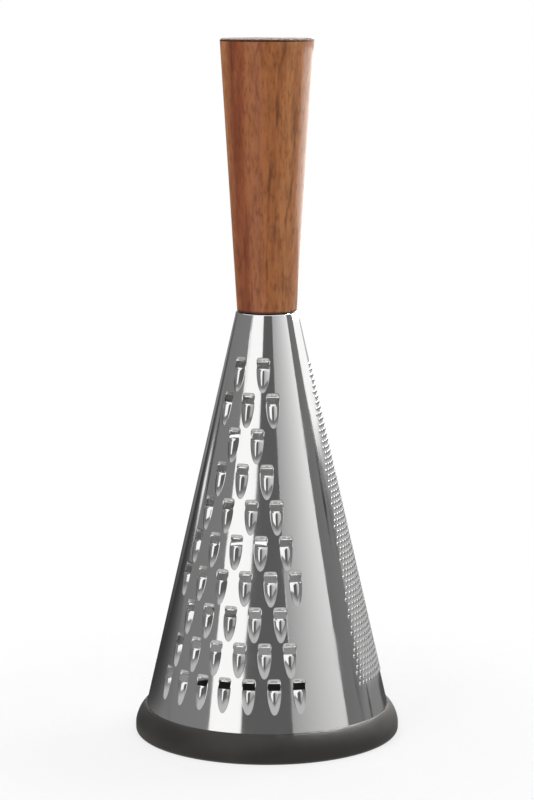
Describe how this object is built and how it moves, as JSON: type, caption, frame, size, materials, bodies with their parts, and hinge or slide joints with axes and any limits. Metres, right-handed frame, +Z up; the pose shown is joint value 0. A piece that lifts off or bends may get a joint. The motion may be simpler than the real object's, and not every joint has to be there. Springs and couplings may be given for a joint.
{
  "type": "conical grater",
  "caption": "Upright conical hand grater: punched steel cone with coarse, fine and slicing panels, tapered wooden handle on top and a rubber ring round the base.",
  "frame": {"origin": "centre of the base ring's flat underside", "axes": "+Z up along the cone's axis, -Y towards the middle of the coarse panel, +X to the right of it"},
  "size_m": [0.107, 0.107, 0.28],
  "materials": {
    "wood": "oiled, fine vertical grain",
    "polished_steel": "polished stainless steel",
    "rubber": "matt black",
    "plate_steel": "plain pressed stainless steel",
    "zinc_steel": "zinc plated",
    "brass": "turned brass"
  },
  "bodies": {
    "root": {"handle": "wood", "grater_cone": "polished_steel", "base_ring": "rubber", "top_cap": "plate_steel", "washer": "zinc_steel", "fixing_screw": "zinc_steel", "threaded_insert": "brass"}
  },
  "joints": []
}
